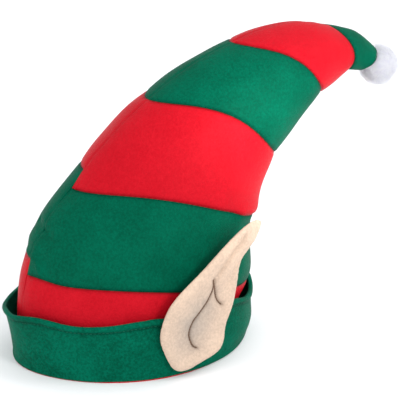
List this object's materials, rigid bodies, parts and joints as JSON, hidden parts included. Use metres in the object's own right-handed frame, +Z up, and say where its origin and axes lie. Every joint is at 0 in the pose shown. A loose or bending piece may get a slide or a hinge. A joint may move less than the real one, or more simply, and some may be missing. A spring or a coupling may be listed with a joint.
{
  "type": "elf hat",
  "caption": "Horn-shaped striped felt elf hat with a turned-up cuff, padded pointed ears at the sides, a peak that bends back and a white pompom.",
  "frame": {"origin": "middle of the hat's outline seen from above, on the plane that the hat stands on", "axes": "+Z up; the front of the hat looks toward -Y, the peak bends back toward +Y, and the wearer's left is +X"},
  "size_m": [0.202, 0.398, 0.2731],
  "materials": {
    "red_felt": "matt red felt",
    "green_felt": "matt dark green felt",
    "ear_felt": "matt skin-coloured felt, lightly padded",
    "pompom_plush": "soft white plush"
  },
  "bodies": {
    "root": {"red_base_left": "red_felt", "green_lower_left": "green_felt", "red_middle_left": "red_felt", "green_upper_left": "green_felt", "red_peak_left": "red_felt", "green_tip_left": "green_felt", "ear_left": "ear_felt", "red_base_right": "red_felt", "green_lower_right": "green_felt", "red_middle_right": "red_felt", "green_upper_right": "green_felt", "red_peak_right": "red_felt", "green_tip_right": "green_felt", "ear_right": "ear_felt", "cuff": "green_felt", "pompom": "pompom_plush"}
  },
  "joints": []
}
